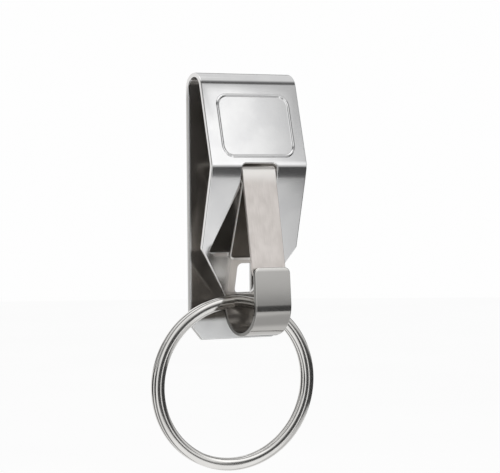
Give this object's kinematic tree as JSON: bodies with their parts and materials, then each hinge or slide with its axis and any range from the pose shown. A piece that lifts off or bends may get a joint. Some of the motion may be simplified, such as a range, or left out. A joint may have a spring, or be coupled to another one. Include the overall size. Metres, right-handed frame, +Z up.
{
  "type": "belt key clip",
  "caption": "Sprung steel clip that hangs over a belt, with a front hook closed by a press-in gate and a split ring for keys.",
  "frame": {"origin": "on the belt side of the back plate, at the middle of its width and at the middle of the belt's height", "axes": "+X across the clip, +Y into the wearer, +Z up along the plate"},
  "size_m": [0.0474, 0.0199, 0.1073],
  "materials": {
    "polished_strip": "bright steel, fine cross grain",
    "brushed_gate": "warm satin steel, grain along the strip",
    "nickel_wire": "polished nickel plate"
  },
  "bodies": {
    "clip_back": {"back_plate": "polished_strip"},
    "clip_front": {"front_arm": "polished_strip", "gate_spring": "brushed_gate"},
    "gate": {"gate_tongue": "brushed_gate"},
    "ring": {"split_ring": "nickel_wire"}
  },
  "joints": [
    {"name": "arm_flex", "type": "hinge", "parent": "clip_back", "child": "clip_front", "pos_m": [0, -0.00698, 0.02065], "axis": [-1, 0, 0], "range_deg": [0, 6], "stiffness_Nm_per_rad": 4, "springref_deg": -1.72},
    {"name": "gate_press", "type": "hinge", "parent": "clip_front", "child": "gate", "pos_m": [0, -0.01099, -0.00247], "axis": [1, 0, 0], "range_deg": [0, 12], "stiffness_Nm_per_rad": 0.3, "springref_deg": -2.86},
    {"name": "ring_swing", "type": "hinge", "parent": "clip_front", "child": "ring", "pos_m": [-0.004, -0.00539, -0.03765], "axis": [-1, 0, 0], "range_deg": [-4, 105]}
  ]
}
